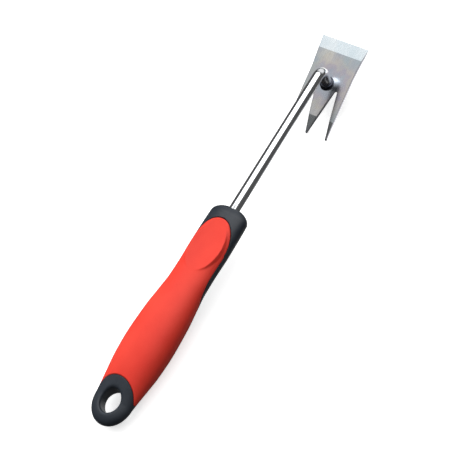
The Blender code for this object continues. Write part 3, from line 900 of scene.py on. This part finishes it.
def buildBeadTree(material):
    tree, given, out = startShape("rippledBead", bead)

    def markedCircle(count, name):
        circle = addNode(tree, "GeometryNodeCurvePrimitiveCircle", {
            "Resolution": count, "Radius": 1.0}, mode="RADIUS")
        factor = tree.nodes.new("GeometryNodeSplineParameter").outputs["Factor"]
        return storeOn(tree, circle.outputs[0], name, factor)

    def marked(name):
        return addNode(tree, "GeometryNodeInputNamedAttribute", {"Name": name},
                       data_type="FLOAT").outputs["Attribute"]

    def part(value, start, length):
        share = calc(tree, "DIVIDE", calc(tree, "SUBTRACT", value, start), length)
        return calc(tree, "MINIMUM", calc(tree, "MAXIMUM", share, 0.0), 1.0)

    ring = addNode(tree, "GeometryNodeCurveToMesh", {
        "Curve": markedCircle(given["Sides"], "aroundBead"),
        "Profile Curve": markedCircle(given["Profile Steps"], "acrossBead")})
    around, across = marked("aroundBead"), marked("acrossBead")
    psi = calc(tree, "MULTIPLY", around, 2 * math.pi)
    swollen = part(across, 0.0, 0.6)
    swing = calc(tree, "MULTIPLY", swollen, math.pi / 2)
    face = calc(tree, "SINE", calc(tree, "MULTIPLY", swollen, math.pi))
    spin = addNode(tree, "ShaderNodeCombineXYZ", {
        "X": calc(tree, "COSINE", psi), "Y": calc(tree, "SINE", psi)}).outputs[0]
    lump = addNode(tree, "ShaderNodeTexNoise", {
        "Vector": spin, "Scale": 1.6, "Detail": 1.0}).outputs["Fac"]
    lump = calc(tree, "MULTIPLY", calc(tree, "SUBTRACT", lump, 0.5), given["Lumps"])
    width = calc(tree, "MULTIPLY", calc(tree, "SUBTRACT", given["Outer"], given["Inner"]),
                 calc(tree, "ADD", 1.0, lump))
    phase = calc(tree, "ADD", calc(tree, "MULTIPLY", around, given["Ripples"]),
                 calc(tree, "MULTIPLY", face, given["Lag"]))
    scale = calc(tree, "ABSOLUTE", calc(tree, "SINE", calc(tree, "MULTIPLY", phase, math.pi)))
    ripple = calc(tree, "MULTIPLY", calc(tree, "MULTIPLY", scale, face), given["Ripple Height"])
    reach = calc(tree, "POWER", calc(tree, "SINE", swing), given["Power"])
    reach = calc(tree, "MULTIPLY", calc(tree, "MULTIPLY", reach, width),
                 calc(tree, "SUBTRACT", 1.0, part(across, 0.6, 0.2)))
    radius = calc(tree, "ADD", calc(tree, "ADD", reach, given["Inner"]), ripple)
    rise = calc(tree, "MAXIMUM", calc(tree, "COSINE", swing), 0.0)
    rise = calc(tree, "POWER", rise, given["Power"])
    share = calc(tree, "ADD", rise, part(across, 0.8, 0.2))
    rise = calc(tree, "MULTIPLY", share,
                calc(tree, "MULTIPLY", given["Height"], calc(tree, "ADD", 1.0, lump)))
    x = calc(tree, "MULTIPLY", radius, calc(tree, "COSINE", psi))
    # the foot follows the plate's slope and the top is square to the leg
    slope = calc(tree, "MULTIPLY", calc(tree, "MULTIPLY", x, given["Slope"]),
                 calc(tree, "SUBTRACT", 1.0, share))
    z = calc(tree, "ADD", calc(tree, "ADD", rise, ripple), calc(tree, "ADD", slope, given["Foot Z"]))
    place = addNode(tree, "ShaderNodeCombineXYZ", {
        "X": calc(tree, "ADD", x, given["Leg X"]),
        "Y": calc(tree, "MULTIPLY", radius, calc(tree, "SINE", psi)), "Z": z})
    return endShape(tree, ring.outputs[0], place.outputs[0], material, out)


# Materials. Sizes in the groups are millimetres, and drawn lines run along X after the turn.

rubber = {
    "lit": (0.900, 0.060, 0.036), "deep": (0.820, 0.036, 0.020), "speck": (0.95, 0.13, 0.09),
    "speckShare": 0.10, "grain": 0.28, "clouds": (26.0, 0.3), "rough": (0.50, 0.64),
    "specular": 0.35, "sheen": 0.06, "sheenRough": 0.45, "sheenTint": (1.0, 0.55, 0.48, 1.0),
    "bump": (0.35, 0.00004),
}
nylon = {
    "base": (0.017, 0.023, 0.033), "dusty": (0.036, 0.044, 0.056), "grain": 0.22,
    "clouds": (16.0, 0.25), "rubs": (7.0, 0.02), "dust": (0.55, 0.35), "rough": (0.40, 0.50),
    "speckRough": 0.05, "bump": (0.30, 0.00003),
}
sheet = {                                      # what the plate's three finishes share
    "turn": (0.0, -(restPose["pitch"] + plate["pitch"]), 0.0), "clouds": (14.0, 0.22),
    "rubs": (6.0, 0.010), "streakShare": 0.18, "uneven": (0.6, 0.4, 0.6), "rubDepth": 0.7,
}
# The rolled face's purple-grey to beige cloudy tone is partly the steel's own uneven tone and partly
# painted reflection of the room; its teal patches are painted reflection.
rolled = {
    **sheet, "tone": ((0.46, 0.46, 0.52), (0.68, 0.66, 0.62)), "streak": (0.359, 0.359, 0.406),
    "paintedReflectionTint": (0.42, 0.54, 0.58), "paintedReflectionPlace": (0.3, 0.1, 0.2), "paintedReflectionSize": (20.0, 0.16),
    "paintedReflectionShare": 0.7, "clouds": (12.0, 0.22), "lines": (16.0, 0.14), "rough": (0.15, 0.25),
    "heat": (24.0, 0.55), "bump": (0.10, 0.00002),
}
ground = {
    **sheet, "tone": ((0.44, 0.49, 0.52), (0.56, 0.58, 0.59)), "streak": (0.343, 0.382, 0.406),
    "lines": (5.0, 0.10), "rough": (0.12, 0.20), "bump": (0.22, 0.00002),
}
sheared = {
    **sheet, "tone": ((0.56, 0.55, 0.61), (0.68, 0.67, 0.72)), "streak": (0.437, 0.429, 0.476),
    "turn": (0.0, math.pi / 2 + sheet["turn"][1], 0.0), "clouds": (5.0, 0.22),
    "lines": (2.0, 0.20), "rough": (0.12, 0.22), "bump": (0.35, 0.00002),
}
polished = {
    "tone": ((0.74, 0.76, 0.79), (0.84, 0.85, 0.86)), "streak": (0.62, 0.64, 0.67),
    "turn": (0.0, 0.0, 0.0), "clouds": (9.0, 0.25), "rubs": (8.0, 0.008), "streakShare": 0.15,
    "uneven": (0.5, 0.5, 0.7), "rubDepth": 0.8, "lines": (5.0, 0.16), "rough": (0.05, 0.16),
    "heat": (11.0, 0.6), "bump": (0.05, 0.00001),
    "drift": 0.015,                            # how little a line changes across its own way round
}
# The weld's dark navy tone is partly the weld metal's own dark oxide and partly painted dark
# reflection.
welded = {
    "tone": ((0.045, 0.052, 0.070), (0.13, 0.135, 0.155)), "clouds": (2.4, 0.2), "grain": 0.35,
    "heat": (8.5, 0.25), "rough": (0.24, 0.46), "bump": (0.25, 0.00005),
}


def cloudsOn(tree, place, size, contrast):
    return useGroup(tree, softClouds, {"Place": place, "Size mm": size, "Contrast": contrast})[0]


def grainOn(tree, place, size):
    return useGroup(tree, mouldGrain, {"Place": place, "Grain mm": size})


def rubsOn(tree, place, cell, width):
    return useGroup(tree, fineScratches, {"Place": place, "Cell mm": cell, "Width": width})[0]


def heated(tree, colour, reach, share, blend="MIX"):
    hot = useGroup(tree, heatTint, {
        "Place": objectPlace(tree), "Centre": weldPlace, "Reach mm": reach})
    return mixColours(tree, calc(tree, "MULTIPLY", hot["Mask"], share), colour, hot["Colour"], blend)


def makeRubber():
    material, tree, shader = newMaterial("softRedRubber")
    place = objectPlace(tree)
    clouds = cloudsOn(tree, place, *rubber["clouds"])
    grain = grainOn(tree, place, rubber["grain"])
    speck = calc(tree, "MULTIPLY", grain["Speckle"], rubber["speckShare"])
    colour = mixColours(tree, clouds, rubber["deep"], rubber["lit"])
    uneven = calc(tree, "ADD", clouds, calc(tree, "MULTIPLY", grain["Speckle"], 0.5))
    setInputs(tree, shader, {
        "Base Color": mixColours(tree, speck, colour, rubber["speck"]),
        "Roughness": remap(tree, uneven, 0.0, 1.5, *rubber["rough"]),
        "Specular IOR Level": rubber["specular"], "Sheen Weight": rubber["sheen"],
        "Sheen Roughness": rubber["sheenRough"], "Sheen Tint": rubber["sheenTint"]})
    setBump(tree, shader, grain["Height"], *rubber["bump"])
    return material


def makeNylon():
    material, tree, shader = newMaterial("blackNylon")
    place = objectPlace(tree)
    clouds = cloudsOn(tree, place, *nylon["clouds"])
    grain = grainOn(tree, place, nylon["grain"])
    rubs = rubsOn(tree, place, *nylon["rubs"])
    cloudDust, rubDust = nylon["dust"]
    dust = calc(tree, "ADD", calc(tree, "MULTIPLY", clouds, cloudDust),
                calc(tree, "MULTIPLY", rubs, rubDust))
    rough = calc(tree, "ADD", remap(tree, clouds, 0.0, 1.0, *nylon["rough"]),
                 calc(tree, "MULTIPLY", grain["Speckle"], nylon["speckRough"]))
    setInputs(tree, shader, {
        "Base Color": mixColours(tree, dust, nylon["base"], nylon["dusty"]), "Roughness": rough})
    setBump(tree, shader, grain["Height"], *nylon["bump"])
    return material


def roundPlace(tree):
    # Lines run round the rod, so they read the way along that the sweep stored.
    along = addNode(tree, "ShaderNodeAttribute", attribute_name="alongRod").outputs["Fac"]
    around = addNode(tree, "ShaderNodeAttribute", attribute_name="aroundRod").outputs["Vector"]
    around = addNode(tree, "ShaderNodeSeparateXYZ", {0: around}).outputs
    return addNode(tree, "ShaderNodeCombineXYZ", {
        "X": calc(tree, "MULTIPLY", around["Y"], mm), "Y": calc(tree, "MULTIPLY", along, mm),
        "Z": calc(tree, "MULTIPLY", around["X"], polished["drift"] * mm)}).outputs[0]


def makeMetal(name, finish, linesAt=None):
    material, tree, shader = newMaterial(name)
    place = objectPlace(tree, finish["turn"])
    clouds = cloudsOn(tree, place, *finish["clouds"])
    rubs = rubsOn(tree, place, *finish["rubs"])
    length, spacing = finish["lines"]
    lines = useGroup(tree, drawnLines, {
        "Place": linesAt(tree) if linesAt else place, "Length mm": length, "Spacing mm": spacing})
    colour = mixColours(tree, clouds, *finish["tone"])
    # teal patches: painted reflection of the room, laid over the face's tone in soft clouds
    if "paintedReflectionTint" in finish:
        moved = addNode(tree, "ShaderNodeMapping", {
            "Vector": place, "Location": finish["paintedReflectionPlace"]}).outputs[0]
        paintedReflectionPatches = cloudsOn(tree, moved, *finish["paintedReflectionSize"])
        paintedReflectionPatches = calc(tree, "MULTIPLY", paintedReflectionPatches, finish["paintedReflectionShare"])
        colour = mixColours(tree, paintedReflectionPatches, colour, finish["paintedReflectionTint"])
    streak = calc(tree, "MULTIPLY", lines["Streaks"], finish["streakShare"])
    colour = mixColours(tree, streak, colour, finish["streak"])
    if "heat" in finish:
        colour = heated(tree, colour, *finish["heat"])
    cloudPart, linePart, rubPart = finish["uneven"]
    uneven = calc(tree, "ADD", calc(tree, "MULTIPLY", clouds, cloudPart),
                  calc(tree, "MULTIPLY", lines["Lines"], linePart))
    uneven = calc(tree, "ADD", uneven, calc(tree, "MULTIPLY", rubs, rubPart))
    setInputs(tree, shader, {
        "Base Color": colour, "Metallic": 1.0,
        "Roughness": remap(tree, uneven, 0.0, 1.2, *finish["rough"])})
    cut = calc(tree, "MULTIPLY", rubs, finish["rubDepth"])
    setBump(tree, shader, calc(tree, "SUBTRACT", lines["Lines"], cut), *finish["bump"])
    return material


def makeWeldMetal():
    material, tree, shader = newMaterial("weldMetal")
    place = objectPlace(tree)
    clouds = cloudsOn(tree, place, *welded["clouds"])
    scale = grainOn(tree, place, welded["grain"])
    # dark navy base: partly the weld's own oxide, partly painted dark reflection
    colour = heated(tree, mixColours(tree, clouds, *welded["tone"]), *welded["heat"], "MULTIPLY")
    uneven = calc(tree, "ADD", clouds, scale["Speckle"])
    setInputs(tree, shader, {
        "Base Color": colour, "Metallic": 1.0,
        "Roughness": remap(tree, uneven, 0.0, 2.0, *welded["rough"])})
    setBump(tree, shader, scale["Height"], *welded["bump"])
    return material


plateFinishes = [makeMetal("rolledSteel", rolled), makeMetal("groundSteel", ground),
                 makeMetal("shearedSteel", sheared)]
rodSteel, weldMetal = makeMetal("polishedRod", polished, roundPlace), makeWeldMetal()
redRubber, blackNylon = makeRubber(), makeNylon()
print("materials built")

grid = handleGrid()
finishBuilt("hoeHead", makePlate(), plateFinishes, "head_plate", "plate_steel", 30.0)
finishGrown("steelRod", makeRod(rodSteel), "shaft", "bright_rod")
finishGrown("weldRing", growMesh("weldRing", buildBeadTree(weldMetal), bead),
            "weld_bead", "weld_metal", 60.0)
finishBuilt("redCover", makeCover(grid), [redRubber], "grip_cover", "soft_red")
finishBuilt("handleBody", makeCore(grid), [blackNylon], "handle_core", "core_black")


# Stage: pale floor, soft lights, and a room that only shows in reflections.

def aimed(thing, place, target, up=(0.0, 0.0, 1.0)):
    back = (Vector(place) - Vector(target)).normalized()
    right = Vector(up).cross(back).normalized()
    above = back.cross(right)
    thing.matrix_world = Matrix((
        (right.x, above.x, back.x, place[0]), (right.y, above.y, back.y, place[1]),
        (right.z, above.z, back.z, place[2]), (0.0, 0.0, 0.0, 1.0)))


lights = {
    "overheadBox": {"side": (0.435, 0.0, 0.90), "distance": 1.2, "size": (0.66, 1.75), "level": 2.6},
    "bladeStrip": {"side": (-0.01, 0.41, 0.913), "distance": 1.2, "size": (0.17, 0.75),
                   "level": 0.75, "target": (0.138, 0.0, 0.035), "colour": (0.93, 0.98, 1.0)},
    "leftKey": {"side": (-0.10, 0.82, 0.56), "distance": 1.4, "size": (1.0, 0.7), "level": 4.6,
                "mirrored": False},
}


def softLight(name, side, distance, size, level, target=(0.02, 0.0, 0.02), colour=(1.0, 1.0, 1.0),
              mirrored=True):
    light = bpy.data.lights.new(name, "AREA")
    light.shape, light.size, light.size_y = "RECTANGLE", size[0], size[1]
    light.energy = level * math.pi * size[0] * size[1]
    light.color = colour
    thing = bpy.data.objects.new(name, light)
    thing.visible_glossy = mirrored
    bpy.context.scene.collection.objects.link(thing)
    place = Vector(target) + Vector(side).normalized() * distance
    aimed(thing, place, target, (0.0, 1.0, 0.0))


for name, values in lights.items():
    softLight(name, **values)

world = bpy.data.worlds.new("studioRoom")
bpy.context.scene.world = world
world.use_nodes = True
room = world.node_tree
background = room.nodes["Background"]
heading = addNode(room, "ShaderNodeSeparateXYZ", {
    0: room.nodes.new("ShaderNodeTexCoord").outputs["Generated"]}).outputs
seen = room.nodes.new("ShaderNodeLightPath").outputs
bands = {                                      # axis, from, to, brightness at from and at to
    "sky": ("Z", -0.1, 1.0, 0.25, 0.9), "skyLeft": ("Y", -0.8, 0.9, 0.24, 1.0),
    "ceiling": ("Z", 0.45, 1.0, 0.18, 0.95), "behind": ("X", -0.50, -0.22, 0.20, 1.0),
    "ahead": ("X", -0.05, 0.25, 1.0, 0.5),
    "lowPatch": ("Z", -0.76, -0.68, 1.1, 0.0), "patchStart": ("X", 0.36, 0.43, 0.0, 1.0),
    "frontWall": ("X", 0.60, 0.85, 0.0, 0.9), "frontRise": ("Z", -0.15, 0.15, 0.0, 1.0),
}


def zone(*names):
    # Brightness of the room where all of these bands meet.
    level = 1.0
    for name in names:
        axis, *limits = bands[name]
        level = calc(room, "MULTIPLY", level, remap(room, heading[axis], *limits))
    return level


# reflections: a dark room, paler overhead and in front, with a pale patch low in front
mirror = calc(room, "ADD", zone("ceiling", "behind", "ahead"), zone("lowPatch", "patchStart"))
mirror = calc(room, "ADD", mirror, zone("frontWall", "frontRise"))
glossy = seen["Is Glossy Ray"]
mixed = calc(room, "ADD", calc(room, "MULTIPLY", mirror, glossy),
             calc(room, "MULTIPLY", zone("sky", "skyLeft"), calc(room, "SUBTRACT", 1.0, glossy)))
shown = addNode(room, "ShaderNodeMix", {0: seen["Is Camera Ray"], 2: mixed, 3: 1.0})
room.links.new(shown.outputs[0], background.inputs["Strength"])
background.inputs["Color"].default_value = (1.0, 1.0, 1.0, 1.0)

studio = {
    "floorSize": 6.0, "floorDrop": 0.0002, "floorGlow": 0.60, "haze": (160.0, 0.4),
    "paint": ((0.90, 0.90, 0.90), (0.93, 0.93, 0.93)), "rough": 0.9,
}
floorMesh = bpy.data.meshes.new("floor")
half = studio["floorSize"] / 2
floorMesh.from_pydata([(-half, -half, 0), (half, -half, 0), (half, half, 0), (-half, half, 0)],
                      [], [(0, 1, 2, 3)])
floor = bpy.data.objects.new("floor", floorMesh)
floor.location.z = -studio["floorDrop"]
bpy.context.scene.collection.objects.link(floor)
floor.visible_glossy = False
floor.visible_diffuse = False
floorPaint, tree, shader = newMaterial("paleFloor")
haze = cloudsOn(tree, objectPlace(tree), *studio["haze"])
setInputs(tree, shader, {
    "Base Color": mixColours(tree, haze, *studio["paint"]), "Roughness": studio["rough"],
    "Emission Color": (1.0, 1.0, 1.0, 1.0), "Emission Strength": studio["floorGlow"]})
floorMesh.materials.append(floorPaint)

view = {
    "place": (-0.2181, -0.2842, 0.5645), "forward": (0.3310, 0.4374, -0.8361),
    "up": (0.7749, 0.3796, 0.5054), "lens": 80.35, "sensor": 36.0, "shift": (0.0226, -0.0310),
}
lens = bpy.data.cameras.new("camera")
lens.sensor_width, lens.lens = view["sensor"], view["lens"]
lens.shift_x, lens.shift_y = view["shift"]
camera = bpy.data.objects.new("camera", lens)
bpy.context.scene.collection.objects.link(camera)
aimed(camera, view["place"], Vector(view["place"]) + Vector(view["forward"]), view["up"])
bpy.context.scene.camera = camera
bpy.context.scene.view_settings.view_transform = "Standard"
print("stage set")
